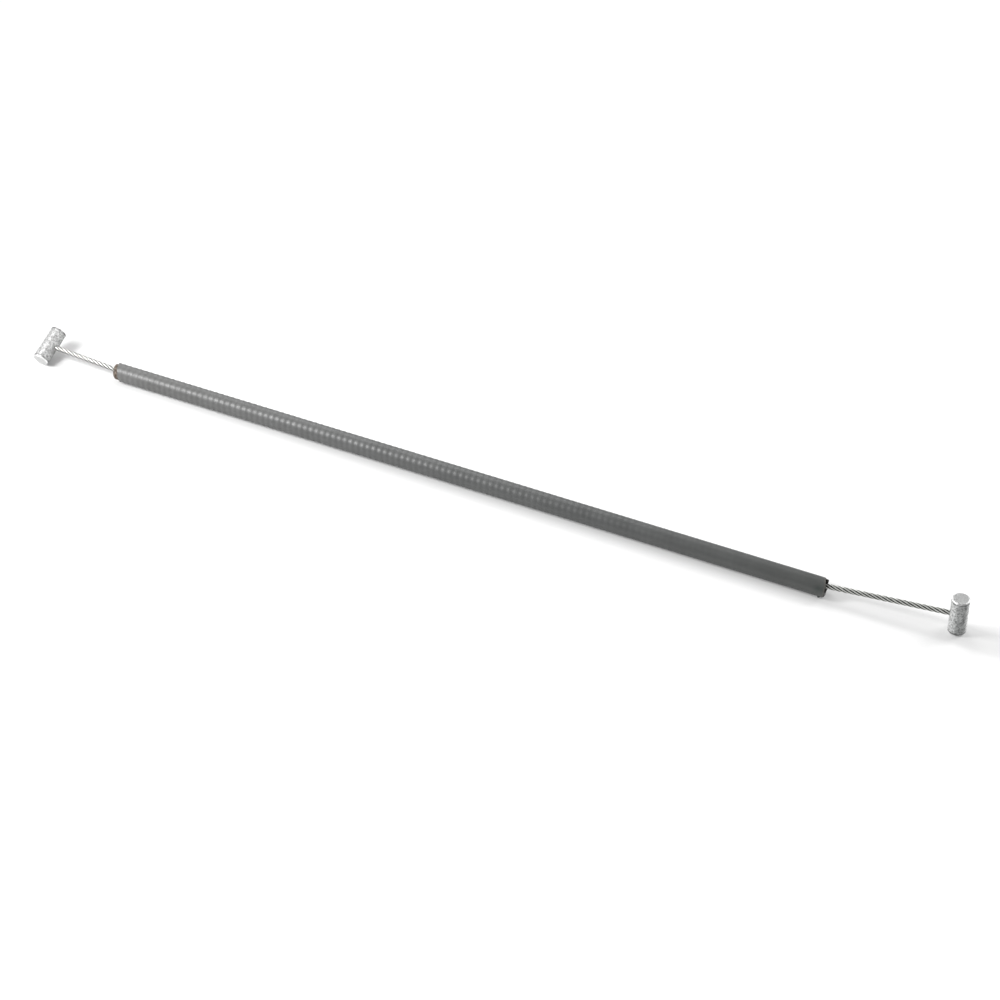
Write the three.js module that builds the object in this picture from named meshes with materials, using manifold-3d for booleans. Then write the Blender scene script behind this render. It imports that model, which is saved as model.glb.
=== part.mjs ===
// A short push-pull control cable lying on a table: a jacketed wound-wire sleeve,
// a stranded wire that slides in it, and a cast barrel set crosswise on each wire end.
// Lengths are millimetres and angles are degrees. The sleeve lies along X and Z is up.
import * as THREE from "three";
import { mergeVertices } from "three/addons/utils/BufferGeometryUtils.js";
import Module from "manifold-3d";

const wasm = await Module();
wasm.setup();

// Jacket: the plastic tube over the coil.
const jacketLength = 203.1;
const jacketDiameter = 5;
const jacketRimChamfer = 0.12;
const jacketSides = 32;
const jacketFit = 0.05;

// Each end of the jacket was cut a little askew: this far along the sleeve, to each side of
// square, at the angle round the sleeve where the jacket reaches furthest to the right.
const leftCutSkew = 0.5;
const leftCutAngle = 170;
const rightCutSkew = 0.6;
const rightCutAngle = 150;

// Nib: the small burr that the cutter left near the right end of the jacket.
const nibSetback = 1.3;
const nibRootRadius = 0.32;
const nibTipRadius = 0.12;
const nibHeight = 0.4;
const nibRootDepth = 0.15;
const nibSides = 8;
const nibAngle = 228;

// Coil: one flat wire wound right-handed with its turns close together. Its cut ends stand
// out of the jacket, at these angles round the sleeve.
const coilDiameter = 4.4;
const coilWireThickness = 0.75;
const coilFullTurns = 120;
const coilTurnGap = 0.17;
const coilStepsPerTurn = 8;
const coilLeftStickOut = 0.97;
const coilRightStickOut = 0.15;
const coilStartAngle = 72;
const coilEndAngle = 70;

// Wire: six strands laid round a seventh, right-hand lay.
const wireDiameter = 1.4;
const strandCount = 6;
const pointsPerStrand = 3;
const layLength = 9.75;
const stepsPerLay = 10;
const bendLength = 12;
const wireEndPastCentre = 1.1;

// Barrels: the same casting at both ends.
const barrelDiameter = 4.5;
const barrelLength = 10.3;
const barrelEdgeRadius = 0.35;
const barrelEdgeSteps = 3;
const barrelSides = 32;
const wireHoleFit = 0.08;
const wireHoleSides = 16;

// How the cable lies: from each end of the jacket to the barrel's centre, how far the
// barrel lies beside the sleeve's axis, how far it has rolled over from upright, and how far
// its upper end tips away from the sleeve.
const layout = {
  left: { direction: -1, reach: 22.6, sideways: 0.65, roll: 70, tip: 0 },
  right: { direction: 1, reach: 32.85, sideways: 1.9, roll: 2, tip: 1.8 },
};
const settlePasses = 12;
const stopGap = 0.3;

// Sizes that follow from those above.
const jacketRadius = jacketDiameter / 2;
const coilRadius = coilDiameter / 2;
const coilTurns = coilFullTurns + (coilEndAngle - coilStartAngle) / 360;
const coilSpan = coilLeftStickOut + jacketLength + coilRightStickOut;
const coilPitch = (coilSpan + coilTurnGap) / (coilTurns + 1);
const coilWireWidth = coilPitch - coilTurnGap;
const strandRadius = wireDiameter / (2 * 3);
const barrelRadius = barrelDiameter / 2;

const axisX = new THREE.Vector3(1, 0, 0);
const axisY = new THREE.Vector3(0, 1, 0);
const axisZ = new THREE.Vector3(0, 0, 1);

// Materials.
function plasticMaterial() {
  return new THREE.MeshStandardMaterial({ color: 0x74777a, roughness: 0.5, metalness: 0 });
}

function rustedSteelMaterial() {
  return new THREE.MeshStandardMaterial({ color: 0x4a3a30, roughness: 0.8, metalness: 0.4 });
}

function wireMaterial() {
  return new THREE.MeshStandardMaterial({ color: 0xa3a49f, roughness: 0.4, metalness: 0.9 });
}

function castingMaterial() {
  return new THREE.MeshStandardMaterial({ color: 0xb9babb, roughness: 0.5, metalness: 0.8 });
}

// Solids as closed meshes.
function toSolid(geometry) {
  const bare = geometry.clone();
  bare.deleteAttribute("normal");
  bare.deleteAttribute("uv");
  const merged = mergeVertices(bare);
  return new wasm.Manifold(new wasm.Mesh({
    numProp: 3,
    vertProperties: new Float32Array(merged.attributes.position.array),
    triVerts: new Uint32Array(merged.index.array),
  }));
}

function toGeometry(solid) {
  const mesh = solid.getMesh();
  const geometry = new THREE.BufferGeometry();
  geometry.setAttribute("position", new THREE.BufferAttribute(mesh.vertProperties, 3));
  geometry.setIndex(new THREE.BufferAttribute(mesh.triVerts, 1));
  return geometry;
}

/** A closed solid through rings of equal count, each end closed round its own centre. */
function sweptSolid(rings) {
  const count = rings[0].length;
  const positions = rings.flat().flatMap((point) => point.toArray());
  const indices = [];
  for (let row = 0; row < rings.length - 1; row++) {
    for (let i = 0; i < count; i++) {
      const next = (i + 1) % count;
      const a = row * count + i;
      const b = row * count + next;
      indices.push(a, b, b + count);
      indices.push(a, b + count, a + count);
    }
  }
  const lastRow = (rings.length - 1) * count;
  const firstCentre = positions.length / 3;
  for (const ring of [rings[0], rings.at(-1)]) {
    const centre = new THREE.Vector3();
    ring.forEach((point) => centre.addScaledVector(point, 1 / count));
    positions.push(...centre.toArray());
  }
  for (let i = 0; i < count; i++) {
    const next = (i + 1) % count;
    indices.push(firstCentre, next, i);
    indices.push(firstCentre + 1, lastRow + i, lastRow + next);
  }
  const geometry = new THREE.BufferGeometry();
  geometry.setAttribute("position", new THREE.Float32BufferAttribute(positions, 3));
  geometry.setIndex(indices);
  return geometry;
}

/** The direction square to X at an angle that turns from Y towards Z. */
function radialDirection(degrees) {
  const angle = THREE.MathUtils.degToRad(degrees);
  return new THREE.Vector3(0, Math.cos(angle), Math.sin(angle));
}

function sleevePoint(along, radius, degrees) {
  const point = radialDirection(degrees).multiplyScalar(radius);
  return point.add(new THREE.Vector3(along, 0, jacketRadius));
}

// The jacket, with the nib that stands out of it.
function jacketTube() {
  const inner = coilRadius + jacketFit;
  const rim = jacketRimChamfer;
  const nibRow = jacketLength - 2 * nibSetback;
  const profile = [
    [inner, 0],
    [jacketRadius - rim, 0],
    [jacketRadius, rim],
    [jacketRadius, nibRow],
    [jacketRadius, jacketLength - rim],
    [jacketRadius - rim, jacketLength],
    [inner, jacketLength],
    [inner, 0],
  ];
  const tube = new THREE.LatheGeometry(profile.map(([r, x]) => new THREE.Vector2(r, x)), jacketSides);
  tube.rotateZ(-Math.PI / 2);
  skewEnds(tube);
  tube.translate(0, 0, jacketRadius);
  return tube;
}

/** Leans the rims at both ends of a tube round the X axis, so that each end is cut askew. */
function skewEnds(tube) {
  const position = tube.attributes.position;
  for (let i = 0; i < position.count; i++) {
    const x = position.getX(i);
    const left = x <= jacketRimChamfer;
    const right = x >= jacketLength - jacketRimChamfer;
    if (left || right) {
      const skew = left ? leftCutSkew : rightCutSkew;
      const furthest = radialDirection(left ? leftCutAngle : rightCutAngle);
      const side = position.getY(i) * furthest.y + position.getZ(i) * furthest.z;
      position.setX(i, x + skew * side / jacketRadius);
    }
  }
}

function nib() {
  const length = nibRootDepth + nibHeight;
  const cone = new THREE.CylinderGeometry(nibTipRadius, nibRootRadius, length, nibSides);
  const outward = radialDirection(nibAngle);
  cone.applyQuaternion(new THREE.Quaternion().setFromUnitVectors(axisY, outward));
  const middle = jacketRadius - nibRootDepth + length / 2;
  const centre = sleevePoint(jacketLength - nibSetback, middle, nibAngle);
  cone.translate(centre.x, centre.y, centre.z);
  return cone;
}

function jacketGeometry() {
  return toGeometry(toSolid(jacketTube()).add(toSolid(nib())));
}

// The coil: the flat wire's four corners carried along a helix.
function coilGeometry() {
  const steps = Math.round(coilTurns * coilStepsPerTurn);
  const half = coilWireWidth / 2;
  const start = -coilLeftStickOut + half;
  const outer = coilRadius;
  const inner = coilRadius - coilWireThickness;
  const corners = [[inner, -half], [inner, half], [outer, half], [outer, -half]];
  const rings = [];
  for (let step = 0; step <= steps; step++) {
    const turn = coilTurns * step / steps;
    const angle = coilStartAngle + 360 * turn;
    rings.push(corners.map(([r, x]) => sleevePoint(start + turn * coilPitch + x, r, angle)));
  }
  return sweptSolid(rings);
}

// The barrel's outline, from the middle of its lower face to the middle of its upper one.
function barrelProfile() {
  const edge = barrelEdgeRadius;
  const profile = [[0, -barrelLength / 2]];
  for (const end of [-1, 1]) {
    for (let i = 0; i <= barrelEdgeSteps; i++) {
      const step = end < 0 ? i : barrelEdgeSteps - i;
      const angle = Math.PI / 2 * step / barrelEdgeSteps;
      const radius = barrelRadius - edge + edge * Math.sin(angle);
      const height = barrelLength / 2 - edge + edge * Math.cos(angle);
      profile.push([radius, end * height]);
    }
  }
  profile.push([0, barrelLength / 2]);
  return profile;
}

/** How high the centre of a barrel is when it lies on the table with this axis. */
function restHeight(axis) {
  const flat = Math.hypot(axis.x, axis.y);
  return Math.max(...barrelProfile().map(([r, h]) => r * flat + Math.abs(h * axis.z)));
}

/** A barrel's axis: square to the wire, rolled from upright towards +Y, then tipped outward. */
function barrelAxis(wireDirection, roll, tip) {
  const upright = axisZ.clone().projectOnPlane(wireDirection).normalize();
  const beside = axisY.clone().projectOnPlane(wireDirection).projectOnPlane(upright).normalize();
  const rolled = THREE.MathUtils.degToRad(roll);
  const tipped = THREE.MathUtils.degToRad(tip);
  const square = upright.multiplyScalar(Math.cos(rolled)).addScaledVector(beside, Math.sin(rolled));
  return square.multiplyScalar(Math.cos(tipped)).addScaledVector(wireDirection, Math.sin(tipped));
}

/** The barrel's place at one end: the wire's slope sets its lean, and its lean the slope. */
function seatBarrel({ direction, reach, sideways, roll, tip }) {
  const stickOut = direction < 0 ? coilLeftStickOut : coilRightStickOut;
  const jacketEnd = direction < 0 ? 0 : jacketLength;
  const mouth = jacketEnd + direction * stickOut;
  const run = reach - stickOut + bendLength / 2;
  const sway = sideways / run;
  const seat = { direction, mouth, sway };
  let height = jacketRadius;
  for (let pass = 0; pass < settlePasses; pass++) {
    seat.rise = (height - jacketRadius) / run;
    seat.wireDirection = new THREE.Vector3(direction, sway, seat.rise).normalize();
    seat.axis = barrelAxis(seat.wireDirection, roll, tip);
    height = restHeight(seat.axis);
  }
  seat.centre = new THREE.Vector3(jacketEnd + direction * reach, sideways, height);
  return seat;
}

const seats = { left: seatBarrel(layout.left), right: seatBarrel(layout.right) };

/** How far the bend and the straight run after it have left the sleeve's axis. */
function drift(distance, slope) {
  if (distance <= 0) {
    return 0;
  }
  if (distance <= bendLength) {
    return slope * distance ** 2 / (2 * bendLength);
  }
  return slope * (distance - bendLength / 2);
}

/** The wire's centre line: along the sleeve's axis, bending near each mouth. */
function wireCentre(x) {
  const seat = x < jacketLength / 2 ? seats.left : seats.right;
  const distance = seat.direction * (x - seat.mouth) + bendLength;
  return new THREE.Vector3(x, drift(distance, seat.sway), jacketRadius + drift(distance, seat.rise));
}

/** The outline of the strands at an angle round the wire. */
function wireRadius(degrees) {
  const strandAngle = 360 / strandCount;
  const fromCrown = THREE.MathUtils.euclideanModulo(degrees, strandAngle) - strandAngle / 2;
  const angle = THREE.MathUtils.degToRad(fromCrown);
  const spread = 2 * strandRadius;
  const depth = strandRadius ** 2 - (spread * Math.sin(angle)) ** 2;
  return spread * Math.cos(angle) + Math.sqrt(Math.max(depth, 0));
}

function wireRing(x, twist) {
  const sample = layLength / stepsPerLay;
  const tangent = wireCentre(x + sample / 2).sub(wireCentre(x - sample / 2)).normalize();
  const across = axisY.clone().projectOnPlane(tangent).normalize();
  const upward = tangent.clone().cross(across);
  const points = strandCount * pointsPerStrand;
  const ring = [];
  for (let i = 0; i < points; i++) {
    const degrees = 360 * i / points;
    const angle = THREE.MathUtils.degToRad(degrees + twist);
    const point = wireCentre(x);
    point.addScaledVector(across, wireRadius(degrees) * Math.cos(angle));
    point.addScaledVector(upward, wireRadius(degrees) * Math.sin(angle));
    ring.push(point);
  }
  return ring;
}

/** How far a barrel can go towards its mouth before it meets the coil. */
function travelTowards(seat) {
  const flat = Math.hypot(seat.axis.y, seat.axis.z);
  const reach = Math.abs(seat.axis.x) * barrelLength / 2 + barrelRadius * flat;
  return Math.abs(seat.centre.x - seat.mouth) - reach - stopGap;
}

// The slide of the wire with its barrels, from rest.
export const travel = { min: -travelTowards(seats.right), max: travelTowards(seats.left) };

// The wire, from inside one barrel to inside the other, its strands turning as it goes.
function wireGeometry() {
  const first = seats.left.centre.x - wireEndPastCentre;
  const last = seats.right.centre.x + wireEndPastCentre;
  const length = last - first;
  const steps = Math.ceil(length / layLength * stepsPerLay);
  const rings = [];
  for (let step = 0; step <= steps; step++) {
    const along = length * step / steps;
    rings.push(wireRing(first + along, 360 * along / layLength));
  }
  return sweptSolid(rings);
}

// A barrel: the turned outline, with a blind hole in its side for the wire.
function barrelBody({ axis, centre }) {
  const points = barrelProfile().map(([r, h]) => new THREE.Vector2(r, h));
  const body = new THREE.LatheGeometry(points, barrelSides);
  body.applyQuaternion(new THREE.Quaternion().setFromUnitVectors(axisY, axis));
  body.translate(centre.x, centre.y, centre.z);
  return body;
}

function wireHole({ wireDirection, centre }) {
  const depth = wireEndPastCentre + wireHoleFit;
  const length = depth + 2 * barrelRadius;
  const radius = wireDiameter / 2 + wireHoleFit;
  const hole = new THREE.CylinderGeometry(radius, radius, length, wireHoleSides);
  hole.translate(0, depth - length / 2, 0);
  hole.applyQuaternion(new THREE.Quaternion().setFromUnitVectors(axisY, wireDirection));
  hole.translate(centre.x, centre.y, centre.z);
  return hole;
}

function barrelGeometry(seat) {
  return toGeometry(toSolid(barrelBody(seat)).subtract(toSolid(wireHole(seat))));
}

function subPart(name, geometry, material) {
  const mesh = new THREE.Mesh(geometry, material);
  mesh.name = name;
  return mesh;
}

const group = new THREE.Group();
group.name = "reverse_lockout_cable";
group.add(subPart("jacket", jacketGeometry(), plasticMaterial()));
group.add(subPart("coil", coilGeometry(), rustedSteelMaterial()));
group.add(subPart("inner_wire", wireGeometry(), wireMaterial()));
group.add(subPart("left_barrel", barrelGeometry(seats.left), castingMaterial()));
group.add(subPart("right_barrel", barrelGeometry(seats.right), castingMaterial()));

// The origin goes to the middle of the footprint, on the table.
const box = new THREE.Box3().setFromObject(group);
const footprint = box.getCenter(new THREE.Vector3());
const toOrigin = new THREE.Vector3(-footprint.x, -footprint.y, -box.min.z);
group.children.forEach((mesh) => mesh.geometry.translate(...toOrigin.toArray()));
Object.values(seats).forEach((seat) => seat.centre.add(toOrigin));

export { seats, toOrigin };
export default group;
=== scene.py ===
"""Dresses the control cable: ribbed jacket, wound coil, laid wire rope and cast barrels."""
import math

import bmesh
import bpy
import numpy as np
from mathutils import Matrix, Vector, noise


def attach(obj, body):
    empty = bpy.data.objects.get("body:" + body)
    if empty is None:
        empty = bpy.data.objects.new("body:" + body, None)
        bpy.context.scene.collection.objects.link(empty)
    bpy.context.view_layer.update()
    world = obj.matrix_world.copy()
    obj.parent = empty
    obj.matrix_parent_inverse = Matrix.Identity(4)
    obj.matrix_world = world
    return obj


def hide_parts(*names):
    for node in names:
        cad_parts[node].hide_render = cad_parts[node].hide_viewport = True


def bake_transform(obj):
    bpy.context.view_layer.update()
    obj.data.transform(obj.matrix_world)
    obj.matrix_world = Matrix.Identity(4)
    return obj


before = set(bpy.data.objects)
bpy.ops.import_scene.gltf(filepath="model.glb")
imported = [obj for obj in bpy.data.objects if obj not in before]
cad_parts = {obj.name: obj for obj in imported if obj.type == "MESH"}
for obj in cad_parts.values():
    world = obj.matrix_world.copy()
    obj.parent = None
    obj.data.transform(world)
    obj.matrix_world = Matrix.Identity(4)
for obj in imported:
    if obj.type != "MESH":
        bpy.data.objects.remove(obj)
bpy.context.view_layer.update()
MM = 0.001


# Lengths are millimetres and angles are degrees. They are the CAD model's, but for the cut
# ends, the coil's right end and the nib's place, which keep closer to the photograph.
JACKET_LENGTH = 203.1
JACKET_RADIUS = 2.5
JACKET_BORE = 2.25

# Each end of the jacket: how far to the right of the nominal end it stands, how far it
# slants, and towards which angle. The right end is also worn back at two angles, each over
# a spread and to a depth.
LEFT_CUT = (0.35, 0.85, 205.0)
RIGHT_CUT = (0.33, 0.14, 150.0)
RIGHT_TEARS = ((224.0, 22.0, 0.6), (52.0, 46.0, 0.95))
CUT_FADE = 60
FRAY_DEPTH = 0.13
FRAY_SCALE = 2.4
SKIN_INSET = 0.4
SKIN_SIDES = 64
SKIN_ROWS_PER_TURN = 8

# The coil shows as low ribs through the skin: their depths at these places along the sleeve.
RIB_PLACES = (0, 60, 120, 165, JACKET_LENGTH)
RIB_DEPTHS = (0.085, 0.075, 0.05, 0.018, 0.005)

# The rim of a cut end, from inside the bore to the skin: inset, radius and how raw it looks; the highest
# values also paint the cut face and the bore near black, as shade.
JACKET_RIM = (
    (0.5, JACKET_BORE, 1.0),
    (0.02, JACKET_BORE, 1.0),
    (0.0, JACKET_BORE + 0.07, 1.0),
    (0.03, JACKET_RADIUS - 0.09, 0.9),
    (0.09, JACKET_RADIUS - 0.03, 0.55),
    (0.26, JACKET_RADIUS - 0.004, 0.35),
)

COIL_RADIUS = 2.2
COIL_THICKNESS = 0.75
COIL_LEFT = 0.97
COIL_RIGHT = 0.15
COIL_RIGHT_SEEN = 0.5
COIL_START_ANGLE = 72.0
COIL_TURNS = 120 - 2.0 / 360
COIL_GAP = 0.17
COIL_PITCH = (COIL_LEFT + JACKET_LENGTH + COIL_RIGHT_SEEN + COIL_GAP) / (COIL_TURNS + 1)
COIL_WIDTH = COIL_PITCH - COIL_GAP
COIL_SOFT_EDGE = 0.14
COIL_STEPS_PER_TURN = 28

WIRE_RADIUS = 0.7
STRAND_RADIUS = WIRE_RADIUS / 3
STRANDS = 6
STRAND_SIDES = 12
LAY = 9.75
LAY_PHASE = 0.52
# The side of the wire, down and towards the camera, where the grooves take more painted shade.
SHADED_SIDE = np.array([0.0, -0.75, -0.66])
BEND = 12.0
WIRE_END = 1.1

# The wire's stations lie this far apart where it shows or can be drawn out, and elsewhere.
FINE_STEP = 0.3
COARSE_STEP = 0.75

BARREL_RADIUS = 2.25
BARREL_LENGTH = 10.3
BARREL_EDGE = 0.35
BARREL_SIDES = 96
BARREL_EDGE_STEPS = 6
BARREL_WALL_STEPS = 46
BARREL_FACE_RADII = (0.9, 1.5, 1.8, BARREL_RADIUS - BARREL_EDGE)
HOLE_RADIUS = 0.78
DENT_DEPTH = 0.022
PIT_DEPTH = 0.05
DARK_BAND_SETBACK = 0.12
DARK_BAND_WIDTH = 0.24
NICK_WIDTH = 0.14

# The nib's rings, from its root outwards: height over the skin, half width and half length.
NIB_RINGS = ((-0.15, 0.34, 0.42), (0.0, 0.33, 0.4), (0.14, 0.27, 0.33), (0.26, 0.17, 0.2), (0.33, 0.06, 0.07))
NIB_SIDES = 20
NIB_SETBACK = 0.97
NIB_ANGLE = 228.0

# A dark smudge on the skin near the right end.
SMUDGE_SETBACK = 1.1
SMUDGE_ANGLE = 156.0
SMUDGE_HALF_WIDTH = 1.1
SMUDGE_HALF_LENGTH = 1.3

# Sleeve coordinates start at the middle of the jacket's left end; the part's origin is elsewhere.
LEFT_END = -106.681354
SLEEVE_Y = -0.65
SLEEVE_Z = JACKET_RADIUS

# Where the sleeve starts and ends along X, in the part's metres.
SLEEVE_SPAN = (-0.107, 0.097)

# How each barrel settled in the CAD model: its middle, its axis and the wire's direction
# there. One side of its wall is painted darker as shade, from one share of facing that way to another.
LEFT = {
    "direction": -1,
    "mouth": -COIL_LEFT,
    "centre": np.array([-22.6, 0.65, 3.77029]),
    "axis": np.array([0.037799, 0.939063, 0.341659]),
    "wire": np.array([-0.998669, 0.023494, 0.045914]),
    "shaded_side": np.array([0.95, 0.0, -0.3]),
    "shaded_from": (0.35, 1.0),
}
RIGHT = {
    "direction": 1,
    "mouth": JACKET_LENGTH + COIL_RIGHT,
    "centre": np.array([235.95, 1.9, 5.242599]),
    "axis": np.array([-0.040859, 0.032918, 0.998622]),
    "wire": np.array([0.996304, 0.048914, 0.070606]),
    "shaded_side": np.array([0.5, -0.866, 0.0]),
    "shaded_from": (0.62, 0.93),
    "nick": ((-141.0, -0.1), (-124.0, -0.85)),
}


def to_part(points):
    """Sleeve millimetres, with heights measured from the table, to the part's metres."""
    points = np.asarray(points, float)
    return (points + np.array([LEFT_END, SLEEVE_Y, 0.0])) * MM


# Meshes.
def new_piece(name, points, faces):
    mesh = bpy.data.meshes.new(name)
    mesh.from_pydata([tuple(p) for p in points], [], faces)
    mesh.validate()
    mesh.update()
    mesh.polygons.foreach_set("use_smooth", [True] * len(mesh.polygons))
    piece = bpy.data.objects.new(name, mesh)
    bpy.context.scene.collection.objects.link(piece)
    return piece


def grid_faces(rows, columns, wrap_rows=False, offset=0):
    faces = []
    for row in range(rows if wrap_rows else rows - 1):
        below = (row + 1) % rows
        for column in range(columns):
            right = (column + 1) % columns
            faces.append(
                (
                    offset + row * columns + column,
                    offset + row * columns + right,
                    offset + below * columns + right,
                    offset + below * columns + column,
                )
            )
    return faces


def swept(rings, offset=0):
    """The points and faces of a closed solid through rings of equal count."""
    rows, columns = rings.shape[:2]
    faces = grid_faces(rows, columns, offset=offset)
    points = list(rings.reshape(-1, 3)) + [rings[0].mean(0), rings[-1].mean(0)]
    first = offset + rows * columns
    last = offset + (rows - 1) * columns
    for column in range(columns):
        right = (column + 1) % columns
        faces.append((first, offset + right, offset + column))
        faces.append((first + 1, last + column, last + right))
    return points, faces


def float_attribute(piece, name, values):
    attribute = piece.data.attributes.new(name, "FLOAT", "POINT")
    attribute.data.foreach_set("value", np.asarray(values, np.float32))


def around(along, radius, angle):
    """Points at an angle round the sleeve's axis, turning from Y towards Z."""
    along, radius, angle = np.broadcast_arrays(along, radius, angle)
    return np.stack([along, radius * np.cos(angle), SLEEVE_Z + radius * np.sin(angle)], -1)


# The jacket.
def rib_turn(along, angles):
    """How many turns of the coil's helix a place on the sleeve is past its start."""
    start = -COIL_LEFT + COIL_WIDTH / 2
    return (along - start) / COIL_PITCH - (angles - math.radians(COIL_START_ANGLE)) / (2 * math.pi)


def ragged_cut(angles, cut, seed):
    """How far a cut end stands along the sleeve at each angle: askew, and a little frayed."""
    mean, reach, towards = cut
    slant = reach * np.cos(angles - math.radians(towards))
    places = [Vector((FRAY_SCALE * math.cos(a), FRAY_SCALE * math.sin(a), seed)) for a in angles]
    fray = [noise.fractal(place, 0.8, 2.0, 3) for place in places]
    return mean + slant + FRAY_DEPTH * np.array(fray)


def turn_from(towards, angles):
    """The degrees from one direction round the sleeve to each angle, the short way."""
    return (np.degrees(angles) - towards + 180) % 360 - 180


def jacket_piece():
    angles = np.linspace(0, 2 * math.pi, SKIN_SIDES, endpoint=False)
    left_cut = ragged_cut(angles, LEFT_CUT, 3.1)
    right_cut = ragged_cut(angles, RIGHT_CUT, 9.4)
    for towards, spread, depth in RIGHT_TEARS:
        right_cut -= depth * np.exp(-((turn_from(towards, angles) / spread) ** 2))
    rows, ribs, ends = [], [], []

    def add_row(along, radius, rib, end):
        rows.append(around(along, radius, angles))
        ribs.append(np.broadcast_to(rib, SKIN_SIDES))
        ends.append(np.full(SKIN_SIDES, end))

    for inset, radius, end in JACKET_RIM:
        add_row(inset + left_cut, radius, 1.0, end)
    steps = int(COIL_TURNS * SKIN_ROWS_PER_TURN)
    for step in range(steps):
        share = (step + 0.5) / steps
        along = SKIN_INSET + share * (JACKET_LENGTH - 2 * SKIN_INSET)
        along = along + (1 - share) ** CUT_FADE * left_cut + share ** CUT_FADE * right_cut
        depth = np.interp(along, RIB_PLACES, RIB_DEPTHS)
        dip = 0.5 - 0.5 * np.cos(2 * math.pi * rib_turn(along, angles))
        # The third value darkens the plastic in the rib valleys, as painted shade.
        add_row(along, JACKET_RADIUS - depth * dip, 1 - dip * depth / RIB_DEPTHS[0], 0.0)
    for inset, radius, end in reversed(JACKET_RIM):
        add_row(JACKET_LENGTH - inset + right_cut, radius, 1.0, end)
    rows = np.array(rows)
    faces = grid_faces(len(rows), SKIN_SIDES, wrap_rows=True)
    piece = new_piece("jacket_skin", to_part(rows.reshape(-1, 3)), faces)
    float_attribute(piece, "rib", np.array(ribs).reshape(-1))
    float_attribute(piece, "cut_end", np.array(ends).reshape(-1))
    spread = np.radians(turn_from(SMUDGE_ANGLE, angles)) * JACKET_RADIUS / SMUDGE_HALF_WIDTH
    drawn = (rows[:, :, 0] - (JACKET_LENGTH - SMUDGE_SETBACK)) / SMUDGE_HALF_LENGTH
    float_attribute(piece, "smudge", np.exp(-(spread[None, :] ** 2 + drawn ** 2)).reshape(-1))
    return piece


def nib_piece():
    """The burr under the jacket's right end."""
    outward = np.array([0, math.cos(math.radians(NIB_ANGLE)), math.sin(math.radians(NIB_ANGLE))])
    across = np.array([0, -outward[2], outward[1]])
    forward = np.array([1.0, 0, 0])
    rings = []
    for height, width, length in NIB_RINGS:
        centre = np.array([JACKET_LENGTH - NIB_SETBACK, 0, SLEEVE_Z]) + outward * (JACKET_RADIUS + height)
        ring = []
        for step in range(NIB_SIDES):
            angle = 2 * math.pi * step / NIB_SIDES
            place = Vector((math.cos(angle) * 1.7, math.sin(angle) * 1.7, height * 3))
            wobble = 1 + 0.22 * noise.noise(place)
            offset = width * math.cos(angle) * across + length * math.sin(angle) * forward
            ring.append(centre + wobble * offset)
        rings.append(ring)
    points, faces = swept(np.array(rings))
    return new_piece("jacket_nib", to_part(points), faces)


# The coil.
def coil_piece():
    half = COIL_WIDTH / 2
    inner = COIL_RADIUS - COIL_THICKNESS
    soft = COIL_SOFT_EDGE
    section = [
        (inner, -half + soft), (inner, half - soft), (inner + soft, half),
        (COIL_RADIUS - soft, half), (COIL_RADIUS, half - soft), (COIL_RADIUS, -half + soft),
        (COIL_RADIUS - soft, -half), (inner + soft, -half),
    ]
    steps = int(COIL_TURNS * COIL_STEPS_PER_TURN)
    start = -COIL_LEFT + half
    rings = []
    for step in range(steps + 1):
        turn = COIL_TURNS * step / steps
        angle = math.radians(COIL_START_ANGLE) + 2 * math.pi * turn
        rings.append([around(start + turn * COIL_PITCH + x, r, angle) for r, x in section])
    points, faces = swept(np.array(rings))
    return new_piece("coil_winding", to_part(points), faces)


# The wire rope.
def drift(distance, slope):
    bent = np.clip(distance, 0, BEND)
    return slope * (bent ** 2 / (2 * BEND) + np.maximum(distance - BEND, 0))


def wire_centre(x):
    x = np.asarray(x, float)
    left = x < JACKET_LENGTH / 2
    y = np.zeros_like(x)
    z = np.full_like(x, SLEEVE_Z)
    for seat, chosen in ((LEFT, left), (RIGHT, ~left)):
        distance = seat["direction"] * (x - seat["mouth"]) + BEND
        y += np.where(chosen, drift(distance, seat["wire"][1] / abs(seat["wire"][0])), 0)
        z += np.where(chosen, drift(distance, seat["wire"][2] / abs(seat["wire"][0])), 0)
    return np.stack([x, y, z], -1)


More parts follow.
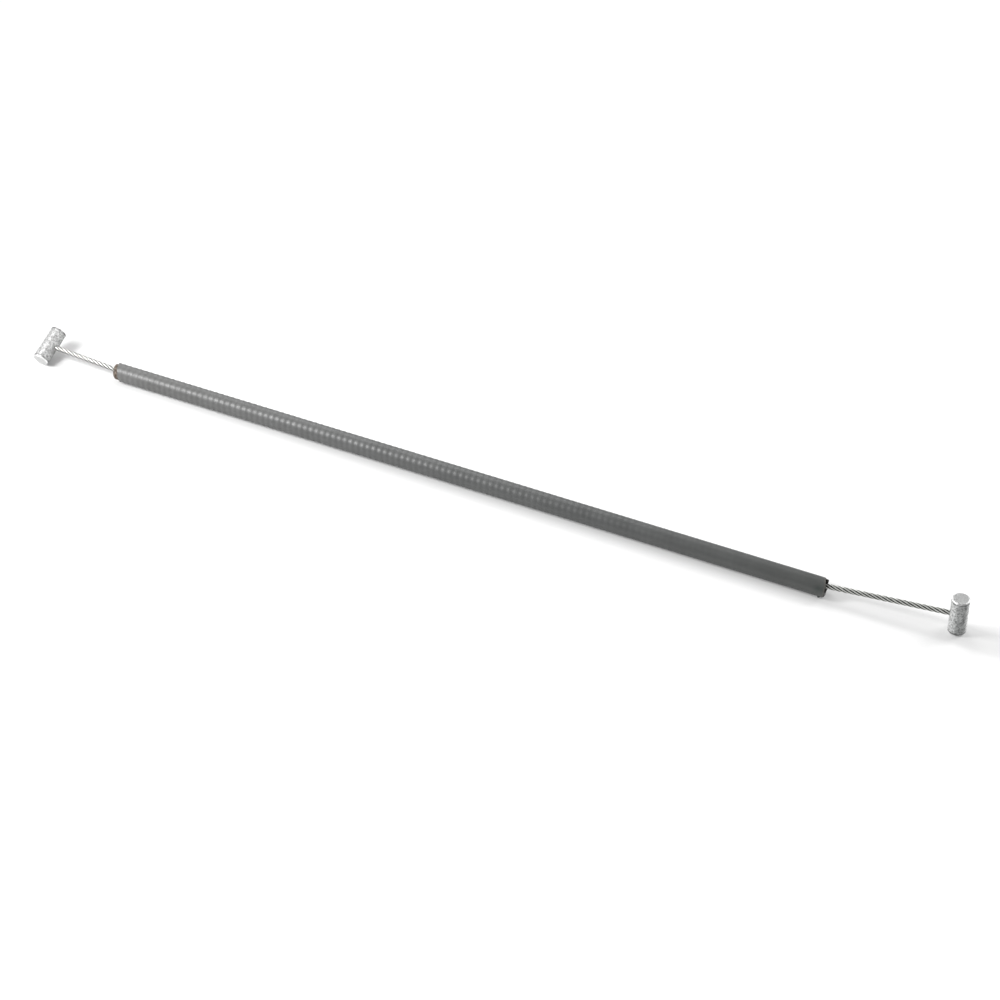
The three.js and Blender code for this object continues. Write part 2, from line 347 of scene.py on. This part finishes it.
def rope_piece(name, stations, grease_and_shade_above):
    """Six strands laid right-handed round a straight one; the grooves between them are darkened, partly as
    grease and partly as painted shade, which falls more on the wire's lower, near side.
    """
    stations = np.asarray(stations)
    centres = wire_centre(stations)
    tangents = np.gradient(centres, axis=0)
    tangents /= np.linalg.norm(tangents, axis=1)[:, None]
    across = np.cross(tangents, [0, 0, 1.0])
    across /= -np.linalg.norm(across, axis=1)[:, None]
    upward = np.cross(tangents, across)
    points, faces, grooves = [], [], []
    for strand in range(STRANDS + 1):
        core = strand == STRANDS
        laid = 2 * math.pi * ((stations - LAY_PHASE) / LAY + strand / STRANDS)
        spread = 0 if core else 2 * STRAND_RADIUS
        outward = np.cos(laid)[:, None] * across + np.sin(laid)[:, None] * upward
        beside = np.cross(tangents, outward)
        middle = centres + spread * outward
        turn = 2 * math.pi * np.arange(STRAND_SIDES) / STRAND_SIDES
        rings = middle[:, None] + STRAND_RADIUS * (
            np.cos(turn)[None, :, None] * outward[:, None] + np.sin(turn)[None, :, None] * beside[:, None]
        )
        ring_points, ring_faces = swept(rings, offset=len(points))
        points += ring_points
        faces += ring_faces
        groove = np.full(len(ring_points), 1.0 if core else 0.0)
        if not core:
            radial = rings - centres[:, None]
            radial /= np.linalg.norm(radial, axis=2)[:, :, None]
            # Painted shade: the grooves darken more on the strands' side that faces down and towards the
            # camera.
            under = np.clip(0.5 + 0.9 * (radial @ SHADED_SIDE), 0, 1)
            depth = np.clip(0.8 - 0.9 * np.cos(turn), 0, 1)
            grease_and_shade = depth * (grease_and_shade_above + (1 - grease_and_shade_above) * under)
            groove[: rings.shape[0] * STRAND_SIDES] = grease_and_shade.reshape(-1)
        grooves += list(groove)
    piece = new_piece(name, to_part(points), faces)
    float_attribute(piece, "groove", grooves)
    return piece


def spaced(start, end, step):
    return np.linspace(start, end, max(2, int(round(abs(end - start) / step)) + 1))


# The barrels.
def barrel_profile():
    """The radius and height of each ring, from the lower face over both edges to the upper face."""
    rows = [(radius, -BARREL_LENGTH / 2) for radius in BARREL_FACE_RADII]
    for step in range(1, BARREL_EDGE_STEPS + 1):
        angle = math.pi / 2 * step / BARREL_EDGE_STEPS
        radius = BARREL_RADIUS - BARREL_EDGE + BARREL_EDGE * math.sin(angle)
        rows.append((radius, -BARREL_LENGTH / 2 + BARREL_EDGE - BARREL_EDGE * math.cos(angle)))
    lower_half = list(rows)
    wall = BARREL_LENGTH - 2 * BARREL_EDGE
    for step in range(1, BARREL_WALL_STEPS):
        rows.append((BARREL_RADIUS, -BARREL_LENGTH / 2 + BARREL_EDGE + wall * step / BARREL_WALL_STEPS))
    return rows + [(radius, -height) for radius, height in reversed(lower_half)]


def cast_rings(seed):
    """The profile turned round, with a casting's shallow dents and pits."""
    rings = []
    for radius, height in barrel_profile():
        ring = []
        on_face = abs(height) > BARREL_LENGTH / 2 - BARREL_EDGE
        for step in range(BARREL_SIDES):
            angle = 2 * math.pi * step / BARREL_SIDES
            place = Vector((radius * math.cos(angle), height, radius * math.sin(angle)))
            rough = noise.fractal(place * 1.3 + Vector((seed, 0, 0)), 1.0, 2.0, 4)
            pit = max(0.0, noise.noise(place * 2.4 + Vector((0, seed, 7.0))) - 0.15)
            dent = DENT_DEPTH * abs(rough) + PIT_DEPTH * pit
            shrink = 1 - dent / max(radius, BARREL_FACE_RADII[0])
            flat = 1 - 0.4 * dent / (BARREL_LENGTH / 2) if on_face else 1
            ring.append((place.x * shrink, height * flat, place.z * shrink))
        rings.append(ring)
    return np.array(rings)


def barrel_piece(name, seat, seed):
    points, faces = swept(cast_rings(seed))
    points = np.array(points)
    axis = seat["axis"]
    side = seat["wire"] - axis * np.dot(seat["wire"], axis)
    side /= np.linalg.norm(side)
    third = np.cross(side, axis)
    turned = points @ np.array([side, axis, third])
    piece = new_piece(name, to_part(turned + seat["centre"]), faces)
    mark_barrel(piece, points, turned, seat)
    drill_wire_hole(piece, seat)
    return piece


def mark_barrel(piece, points, turned, seat):
    """Where painted shade darkens one side of the casting, where a painted highlight brightens its edges, the
    dark band below each edge, and its nick.
    """
    axis = seat["axis"]
    out = turned - np.outer(turned @ axis, axis)
    facing = out @ seat["shaded_side"] / np.maximum(np.linalg.norm(out, axis=1), 0.01)
    low, high = seat["shaded_from"]
    height = np.abs(points[:, 1])
    radius = np.hypot(points[:, 0], points[:, 2])
    side_wall = np.clip((radius - (BARREL_RADIUS - 0.3)) / 0.15, 0, 1)
    float_attribute(piece, "shaded", np.clip((facing - low) / (high - low), 0, 1) * side_wall)
    corner = np.minimum(BARREL_LENGTH / 2 - height, BARREL_RADIUS - radius)
    rounded = (height > BARREL_LENGTH / 2 - BARREL_EDGE) & (radius > BARREL_RADIUS - BARREL_EDGE - 0.02)
    float_attribute(piece, "edge", np.where(rounded, np.clip(corner / 0.05 + 0.5, 0, 1), 0))
    below_edge = BARREL_LENGTH / 2 - BARREL_EDGE - DARK_BAND_SETBACK - height
    float_attribute(piece, "dark_band", np.exp(-((below_edge / DARK_BAND_WIDTH) ** 2)) * side_wall)
    float_attribute(piece, "side", side_wall)
    float_attribute(piece, "nick", nick_mark(turned, out, seat))


def nick_mark(turned, out, seat):
    """A short slanting nick in the skin, given by its two ends, each an angle and a height."""
    if "nick" not in seat:
        return np.zeros(len(turned))
    angles = np.arctan2(out[:, 1], out[:, 0])
    place = np.stack([BARREL_RADIUS * angles, turned @ seat["axis"]], -1)
    first, last = (np.array([BARREL_RADIUS * math.radians(a), h]) for a, h in seat["nick"])
    share = np.clip((place - first) @ (last - first) / np.sum((last - first) ** 2), 0, 1)
    distance = np.linalg.norm(place - first - share[:, None] * (last - first), axis=1)
    return np.exp(-((distance / NICK_WIDTH) ** 2))


def drill_wire_hole(piece, seat):
    """Cuts the wire's blind hole into the barrel's side, a little deeper than the wire goes."""
    depth = WIRE_END + 0.1
    length = depth + 2 * BARREL_RADIUS
    mesh = bpy.data.meshes.new("drill")
    shape = bmesh.new()
    radius = HOLE_RADIUS * MM
    bmesh.ops.create_cone(shape, cap_ends=True, segments=40, radius1=radius, radius2=radius, depth=length * MM)
    shape.to_mesh(mesh)
    shape.free()
    drill = bpy.data.objects.new("drill", mesh)
    bpy.context.scene.collection.objects.link(drill)
    turn = Vector(seat["wire"]).to_track_quat("Z", "Y").to_matrix().to_4x4()
    middle = seat["centre"] + seat["wire"] * (depth - length / 2)
    drill.matrix_world = Matrix.Translation(Vector(to_part(middle))) @ turn
    cut = piece.modifiers.new("cut", "BOOLEAN")
    cut.operation = "DIFFERENCE"
    cut.solver = "EXACT"
    cut.object = drill
    bpy.context.view_layer.update()
    evaluated = piece.evaluated_get(bpy.context.evaluated_depsgraph_get())
    cut_mesh = bpy.data.meshes.new_from_object(evaluated)
    piece.modifiers.clear()
    old = piece.data
    piece.data = cut_mesh
    bpy.data.meshes.remove(old)
    bpy.data.objects.remove(drill)
    bpy.data.meshes.remove(mesh)
    piece.data.polygons.foreach_set("use_smooth", [True] * len(piece.data.polygons))


# Materials.
class Nodes:
    """A small helper that builds one material's node tree."""

    def __init__(self, name):
        self.material = bpy.data.materials.new(name)
        self.material.use_nodes = True
        self.tree = self.material.node_tree
        self.shader = self.tree.nodes["Principled BSDF"]
        self.place = self.add("ShaderNodeTexCoord").outputs["Object"]

    def add(self, kind, **values):
        node = self.tree.nodes.new(kind)
        for key, value in values.items():
            if hasattr(node, key):
                setattr(node, key, value)
            else:
                node.inputs[key.replace("_", " ")].default_value = value
        return node

    def link(self, source, target):
        self.tree.links.new(source, target)

    def noise(self, scale, detail=3.0, roughness=0.55, place=None):
        node = self.add("ShaderNodeTexNoise", Scale=scale, Detail=detail, Roughness=roughness)
        self.link(place or self.place, node.inputs["Vector"])
        return node.outputs["Fac"]

    def ramp(self, source, stops):
        node = self.add("ShaderNodeValToRGB")
        elements = node.color_ramp.elements
        while len(elements) < len(stops):
            elements.new(0.5)
        for element, (position, colour) in zip(elements, stops):
            if isinstance(colour, float):
                colour = (colour, colour, colour)
            element.position = position
            element.color = (*colour, 1.0)
        self.link(source, node.inputs["Fac"])
        return node.outputs["Color"]

    def mix(self, factor, first, second, blend="MIX"):
        """Mixes two colours. A colour mix has its factor and its colours at inputs 0, 6 and 7."""
        node = self.add("ShaderNodeMix", data_type="RGBA", blend_type=blend)
        for source, index in ((factor, 0), (first, 6), (second, 7)):
            socket = node.inputs[index]
            if isinstance(source, (int, float)):
                socket.default_value = source
            elif isinstance(source, tuple):
                socket.default_value = (*source, 1.0)
            else:
                self.link(source, socket)
        return node.outputs[2]

    def attribute(self, name):
        return self.add("ShaderNodeAttribute", attribute_name=name).outputs["Fac"]

    def along(self, start, end):
        """Nought at one X, in metres, and one at another."""
        split = self.add("ShaderNodeSeparateXYZ")
        self.link(self.place, split.inputs["Vector"])
        return self.scaled(split.outputs["X"], start, end)

    def scaled(self, source, start, end):
        node = self.add("ShaderNodeMapRange", From_Min=start, From_Max=end)
        self.link(source, node.inputs["Value"])
        return node.outputs["Result"]

    def bump(self, height, strength, distance):
        node = self.add("ShaderNodeBump", Strength=strength, Distance=distance)
        self.link(height, node.inputs["Height"])
        self.link(node.outputs["Normal"], self.shader.inputs["Normal"])


def jacket_material():
    nodes = Nodes("jacket_plastic")
    # Painted light: the plastic is lighter at the left end and darker towards the right, as the lamp near the
    # left end falls off along the sleeve.
    base = nodes.ramp(
        nodes.along(*SLEEVE_SPAN),
        [
            (0.0, (0.138, 0.138, 0.136)), (0.13, (0.12, 0.121, 0.119)), (0.34, (0.11, 0.112, 0.111)),
            (0.55, (0.096, 0.099, 0.098)), (0.76, (0.083, 0.086, 0.085)), (1.0, (0.07, 0.074, 0.071)),
        ],
    )
    cloud = nodes.ramp(nodes.noise(170, 5, 0.6), [(0.3, (0.86, 0.86, 0.86)), (0.7, (1.12, 1.12, 1.12))])
    tone = nodes.mix(1.0, base, cloud, "MULTIPLY")
    # Painted shade: the plastic is darker in the valleys between the ribs.
    rib = nodes.ramp(nodes.attribute("rib"), [(0.0, (0.88, 0.88, 0.88)), (0.9, (1.0, 1.0, 1.0))])
    tone = nodes.mix(1.0, tone, rib, "MULTIPLY")
    specks = nodes.ramp(nodes.noise(900, 4, 0.65), [(0.58, 0.0), (0.75, 0.3)])
    tone = nodes.mix(specks, tone, (0.05, 0.055, 0.05))
    smudge = nodes.ramp(nodes.attribute("smudge"), [(0.1, 0.0), (1.0, 0.7)])
    tone = nodes.mix(smudge, tone, (0.026, 0.036, 0.031))
    lip = nodes.ramp(nodes.attribute("cut_end"), [(0.15, 0.0), (0.35, 0.55)])
    tone = nodes.mix(lip, tone, (0.125, 0.115, 0.1))
    # Painted shade: the cut faces and the bore go near black, darker still towards the right end.
    end = nodes.ramp(nodes.attribute("cut_end"), [(0.56, 0.0), (0.85, 0.95)])
    cut = nodes.ramp(nodes.along(*SLEEVE_SPAN), [(0.2, (0.04, 0.033, 0.026)), (0.8, (0.008, 0.006, 0.0045))])
    tone = nodes.mix(end, tone, cut)
    nodes.link(tone, nodes.shader.inputs["Base Color"])
    gloss = nodes.ramp(nodes.noise(700, 3), [(0.3, 0.4), (0.7, 0.48)])
    nodes.link(gloss, nodes.shader.inputs["Roughness"])
    nodes.shader.inputs["Specular IOR Level"].default_value = 0.62
    nodes.bump(nodes.noise(1900, 3), 0.25, 0.00006)
    return nodes.material


def nib_material():
    nodes = Nodes("nib_plastic")
    tone = nodes.ramp(nodes.noise(2500, 3), [(0.3, (0.004, 0.008, 0.007)), (0.7, (0.02, 0.032, 0.028))])
    nodes.link(tone, nodes.shader.inputs["Base Color"])
    nodes.shader.inputs["Roughness"].default_value = 0.4
    nodes.bump(nodes.noise(3000, 3), 0.3, 0.00005)
    return nodes.material


def coil_material():
    nodes = Nodes("coil_rusted_steel")
    rust = nodes.ramp(
        nodes.noise(2100, 4, 0.7),
        [
            (0.36, (0.03, 0.023, 0.017)), (0.46, (0.085, 0.066, 0.05)),
            (0.56, (0.16, 0.125, 0.098)), (0.68, (0.33, 0.27, 0.23)),
        ],
    )
    # Painted shade: the coil is darkened strongly towards the right end.
    shade_towards_right = nodes.ramp(nodes.along(*SLEEVE_SPAN), [(0.2, (1.0, 1.0, 1.0)), (0.8, (0.06, 0.05, 0.045))])
    tone = nodes.mix(1.0, rust, shade_towards_right, "MULTIPLY")
    nodes.link(tone, nodes.shader.inputs["Base Color"])
    nodes.shader.inputs["Metallic"].default_value = 0.2
    gloss = nodes.ramp(nodes.noise(1800, 3), [(0.3, 0.42), (0.7, 0.8)])
    nodes.link(gloss, nodes.shader.inputs["Roughness"])
    nodes.bump(nodes.noise(2600, 4), 0.5, 0.00008)
    return nodes.material


def wire_material():
    nodes = Nodes("wire_steel")
    steel = nodes.ramp(
        nodes.noise(900, 4, 0.6),
        [(0.3, (0.66, 0.665, 0.655)), (0.55, (0.86, 0.865, 0.855)), (0.8, (0.97, 0.975, 0.965))],
    )
    tarnish = nodes.ramp(nodes.along(*SLEEVE_SPAN), [(0.2, (0.88, 0.88, 0.87)), (0.8, (0.86, 0.87, 0.84))])
    steel = nodes.mix(1.0, steel, tarnish, "MULTIPLY")
    # The grooves go near black, partly as grease and partly as painted shade.
    grease_and_shade_tone = nodes.ramp(nodes.attribute("groove"), [(0.05, 0.0), (0.32, 1.0)])
    tone = nodes.mix(grease_and_shade_tone, steel, (0.012, 0.012, 0.012))
    nodes.link(tone, nodes.shader.inputs["Base Color"])
    nodes.shader.inputs["Metallic"].default_value = 0.8
    gloss = nodes.ramp(nodes.noise(2200, 3), [(0.3, 0.26), (0.7, 0.42)])
    nodes.link(gloss, nodes.shader.inputs["Roughness"])
    nodes.bump(nodes.noise(3800, 2), 0.2, 0.00003)
    return nodes.material


def casting_material(name, bright, shaded, face):
    """Bare cast zinc: a granular skin between two tones, painted shade on one side, smoother faces, a painted
    highlight on the edges.
    """
    nodes = Nodes(name)
    grain = nodes.ramp(nodes.noise(1900, 4, 0.72), [(0.4, 0.0), (0.58, 1.0)])
    light = nodes.mix(grain, tuple(0.42 * tone for tone in bright), bright)
    dark = nodes.mix(grain, shaded, tuple(3.0 * tone for tone in shaded))
    patches = nodes.ramp(nodes.noise(640, 4, 0.65), [(0.42, 0.0), (0.6, 1.0)])
    # Painted shade: the skin takes the dark tone on one side of the wall.
    patchy = nodes.mix(0.6, nodes.attribute("shaded"), patches, "OVERLAY")
    skin = nodes.mix(patchy, light, dark)
    smoother = nodes.mix(grain, tuple(0.86 * tone for tone in face), face)
    tone = nodes.mix(nodes.attribute("side"), smoother, skin)
    # A dark band just below each rounded edge of the wall, broken in places.
    broken = nodes.ramp(nodes.noise(700, 2), [(0.36, 0.3), (0.52, 1.0)])
    dark_band = nodes.mix(1.0, nodes.attribute("dark_band"), broken, "MULTIPLY")
    tone = nodes.mix(dark_band, tone, tuple(0.6 * value for value in shaded))
    # Painted highlight: the rounded edges go near white, in patches.
    highlight_patches = nodes.ramp(nodes.noise(450, 2), [(0.4, 0.25), (0.56, 1.0)])
    rim_highlight = nodes.mix(1.0, nodes.attribute("edge"), highlight_patches, "MULTIPLY")
    tone = nodes.mix(rim_highlight, tone, (0.97, 0.97, 0.97))
    nick = nodes.ramp(nodes.attribute("nick"), [(0.3, 0.0), (0.8, 0.8)])
    tone = nodes.mix(nick, tone, tuple(0.5 * value for value in shaded))
    nodes.link(tone, nodes.shader.inputs["Base Color"])
    nodes.shader.inputs["Metallic"].default_value = 0.75
    gloss = nodes.ramp(nodes.noise(1500, 4, 0.6), [(0.35, 0.28), (0.65, 0.5)])
    nodes.link(gloss, nodes.shader.inputs["Roughness"])
    nodes.bump(nodes.noise(1700, 4, 0.65), 0.9, 0.00014)
    return nodes.material


def dress(piece, material, body, node):
    piece.data.materials.clear()
    piece.data.materials.append(material)
    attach(piece, body)
    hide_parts(node)


# The table, the light and the camera.
def build_stage():
    mesh = bpy.data.meshes.new("table_top")
    mesh.from_pydata([(-3, -3, 0), (3, -3, 0), (3, 3, 0), (-3, 3, 0)], [], [(0, 1, 2, 3)])
    table = bpy.data.objects.new("table_top", mesh)
    bpy.context.scene.collection.objects.link(table)
    table.data.materials.append(table_material())


def table_material():
    """White paper: a diffuse part that takes the shadows, painted darker towards the left as shade against the
    nearer lamp, and a glow only seen directly or in reflections, dimmed near the sleeve and at the left end as
    painted shadow.
    """
    nodes = Nodes("table_white")
    # Painted shade: the paper is darker towards the left, where the lamp is nearer.
    paper_with_painted_shade = nodes.ramp(
        nodes.along(-0.13, 0.13), [(0.0, (0.6, 0.6, 0.6)), (0.4, (0.62, 0.62, 0.62)), (1.0, (0.7, 0.7, 0.7))]
    )
    nodes.link(paper_with_painted_shade, nodes.shader.inputs["Base Color"])
    nodes.shader.inputs["Roughness"].default_value = 0.85
    nodes.shader.inputs["Specular IOR Level"].default_value = 0.1
    split = nodes.add("ShaderNodeSeparateXYZ")
    nodes.link(nodes.place, split.inputs["Vector"])
    beside = nodes.add("ShaderNodeMath", operation="ABSOLUTE")
    nodes.link(split.outputs["Y"], beside.inputs[0])
    # Painted shadow: the glow is weakest next to the sleeve and grows outwards.
    glow = nodes.ramp(
        nodes.scaled(beside.outputs[0], 0.0, 0.4),
        [
            (0.0025, 0.16), (0.0072, 0.19), (0.0092, 0.25), (0.0122, 0.34),
            (0.0165, 0.385), (0.075, 0.42), (0.225, 0.55), (0.9, 1.0),
        ],
    )
    rays = nodes.add("ShaderNodeLightPath")
    seen = nodes.add("ShaderNodeMath", operation="MAXIMUM")
    nodes.link(rays.outputs["Is Camera Ray"], seen.inputs[0])
    nodes.link(rays.outputs["Is Glossy Ray"], seen.inputs[1])
    amount = nodes.add("ShaderNodeMath", operation="MULTIPLY")
    nodes.link(seen.outputs[0], amount.inputs[0])
    # Painted shadow: the glow is dimmed at the left end, darkening the left barrel's shadow.
    left_end = nodes.ramp(nodes.along(-0.14, -0.1), [(0.2, 0.4), (1.0, 1.0)])
    nodes.link(nodes.mix(1.0, glow, left_end, "MULTIPLY"), amount.inputs[1])
    nodes.shader.inputs["Emission Color"].default_value = (1, 1, 1, 1)
    nodes.link(amount.outputs[0], nodes.shader.inputs["Emission Strength"])
    return nodes.material


def area_light(name, place, target, size, power):
    data = bpy.data.lights.new(name, "AREA")
    data.shape = "DISK"
    data.size = size
    data.energy = power
    light = bpy.data.objects.new(name, data)
    bpy.context.scene.collection.objects.link(light)
    light.location = Vector(place)
    light.rotation_euler = (Vector(target) - Vector(place)).to_track_quat("-Z", "Y").to_euler()


def build_light():
    area_light("key", (-0.245, -0.14, 0.228), (-0.1, 0.0, 0.0), 0.14, 1.13)
    area_light("back", (-0.22, 0.33, 0.36), (-0.03, 0.0, 0.0), 0.34, 0.8)
    area_light("side", (0.32, 0.3, 0.26), (0.1, 0.0, 0.0), 0.22, 0.75)
    world = bpy.data.worlds.new("studio")
    bpy.context.scene.world = world
    world.use_nodes = True
    background = world.node_tree.nodes["Background"]
    background.inputs["Color"].default_value = (1, 1, 1, 1)
    background.inputs["Strength"].default_value = 0.47


# The camera was fitted to the photograph: the sleeve's ends and width, its ribs and both
# barrels. Its focal length is in pixels, and the rest in degrees and millimetres.
CAMERA_TURN = 24.69
CAMERA_HEIGHT = 42.0
CAMERA_DISTANCE = 569.96
CAMERA_FOCAL = 2205.5
CAMERA_TARGET = (9.15, -2.19, 0.0)
SENSOR_WIDTH = 36
PICTURE_WIDTH = 1000


def build_camera():
    turn = math.radians(CAMERA_TURN)
    height = math.radians(CAMERA_HEIGHT)
    level = Vector((-math.sin(turn), math.cos(turn), 0.0))
    forward = level * math.cos(height) - Vector((0.0, 0.0, math.sin(height)))
    data = bpy.data.cameras.new("camera")
    data.sensor_width = SENSOR_WIDTH
    data.lens = CAMERA_FOCAL / PICTURE_WIDTH * SENSOR_WIDTH
    data.clip_start = 0.01
    data.clip_end = 20
    camera = bpy.data.objects.new("camera", data)
    bpy.context.scene.collection.objects.link(camera)
    camera.location = Vector(CAMERA_TARGET) * MM - forward * CAMERA_DISTANCE * MM
    camera.rotation_euler = forward.to_track_quat("-Z", "Y").to_euler()
    bpy.context.scene.camera = camera


build_camera()
build_stage()
build_light()

dress(jacket_piece(), jacket_material(), "sleeve", "jacket")
dress(nib_piece(), nib_material(), "sleeve", "jacket")
dress(coil_piece(), coil_material(), "sleeve", "coil")

# The wire rides with the barrels, but for its right free stretch, which is attached to no body,
# because the raised wire would otherwise pierce the sleeve there.
wire_steel = wire_material()
left_start = LEFT["centre"][0] - WIRE_END
drawn_out_to = 46.0
right_start = RIGHT["mouth"] - 20.0
left_end = right_start - 2.0
left_stations = [spaced(left_start, drawn_out_to, FINE_STEP), spaced(drawn_out_to, left_end, COARSE_STEP)[1:]]
left_wire = rope_piece("wire_left", np.concatenate(left_stations), grease_and_shade_above=0.6)
dress(left_wire, wire_steel, "inner", "inner_wire")
right_stations = spaced(right_start, RIGHT["centre"][0] + WIRE_END, FINE_STEP)
right_wire = rope_piece("wire_right", right_stations, grease_and_shade_above=0.7)
right_wire.data.materials.append(wire_steel)
tuple(to_part(wire_centre(RIGHT["mouth"])))
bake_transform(right_wire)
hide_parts("inner_wire")

# Both barrels are one zinc; their tones differ only to match how each is lit, as painted light and shade.
left_zinc = casting_material(
    "cast_zinc_left", bright=(0.8, 0.802, 0.798), shaded=(0.2, 0.202, 0.2), face=(0.68, 0.682, 0.678)
)
right_zinc = casting_material(
    "cast_zinc_right", bright=(0.86, 0.87, 0.865), shaded=(0.13, 0.133, 0.132), face=(0.55, 0.555, 0.552)
)
dress(barrel_piece("barrel_casting_left", LEFT, 3.7), left_zinc, "inner", "left_barrel")
dress(barrel_piece("barrel_casting_right", RIGHT, 11.2), right_zinc, "inner", "right_barrel")

bpy.context.scene.view_settings.view_transform = "Standard"
